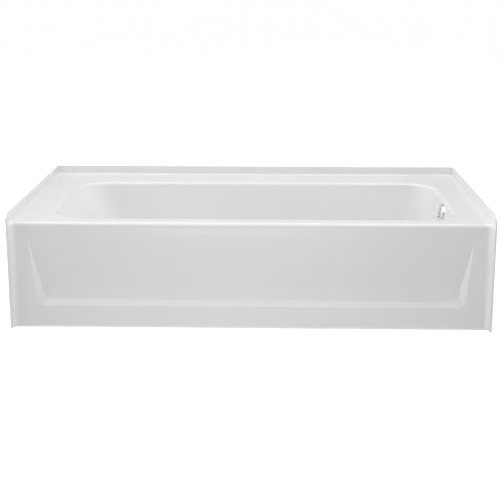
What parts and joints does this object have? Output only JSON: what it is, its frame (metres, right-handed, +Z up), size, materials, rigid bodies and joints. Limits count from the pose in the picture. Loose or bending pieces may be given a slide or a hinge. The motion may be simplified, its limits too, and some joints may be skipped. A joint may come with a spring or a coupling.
{
  "type": "alcove bathtub",
  "caption": "Moulded alcove bathtub with integral panelled apron and tile flanges, bedded on timber bearers, with a trip-lever waste and overflow at the right-hand end.",
  "frame": {"origin": "middle of the footprint on the floor", "axes": "+X along the tub to the drain end, -Y out of the apron into the room, +Z up"},
  "size_m": [1.524, 0.762, 0.376],
  "materials": {
    "shell_gloss": "high-gloss white moulded surface",
    "plywood": "resin-sealed plywood",
    "timber": "planed softwood",
    "zinc_steel": "zinc-plated steel",
    "chrome": "polished chrome plate",
    "brass": "unplated brass tube and castings",
    "rubber": "black moulded rubber",
    "foam_rubber": "dark closed-cell sponge rubber"
  },
  "bodies": {
    "tub": {"tub_shell": "shell_gloss", "floor_board": "plywood", "bearer_head": "timber", "bearer_middle": "timber", "bearer_drain": "timber", "bearer_screws": "zinc_steel", "front_rim_rail": "timber", "back_deck_board": "plywood", "strainer_body": "chrome", "strainer_grid": "chrome", "strainer_screw": "chrome", "drain_shoe": "brass", "shoe_gasket": "rubber", "waste_tube": "brass", "overflow_tube": "brass", "waste_tee": "brass", "overflow_slip_nut": "brass", "waste_slip_nut": "brass", "outlet_slip_nut": "brass", "overflow_slip_washer": "rubber", "waste_slip_washer": "rubber", "outlet_slip_washer": "rubber", "overflow_elbow": "brass", "overflow_gasket": "foam_rubber", "overflow_plate": "chrome", "plate_screws": "chrome", "lever_pivot_pin": "brass"},
    "lever": {"trip_lever": "chrome"},
    "linkage": {"linkage_pin": "brass", "linkage_wire": "brass", "linkage_coupling": "brass", "plunger_rod": "brass", "plunger_lock_nut": "brass", "plunger": "brass"}
  },
  "joints": [
    {"name": "trip_lever_hinge", "type": "hinge", "parent": "tub", "child": "lever", "pos_m": [0.65154, -0.033, 0.29311], "axis": [0, 1, 0], "range_deg": [0, 40]},
    {"name": "linkage_slide", "type": "slide", "parent": "tub", "child": "linkage", "axis": [0, 0, -1], "range_m": [0, 0.02257]}
  ],
  "couplings": [
    {"joint": "trip_lever_hinge", "follows": "linkage_slide", "rad_per_m": 30.936}
  ]
}
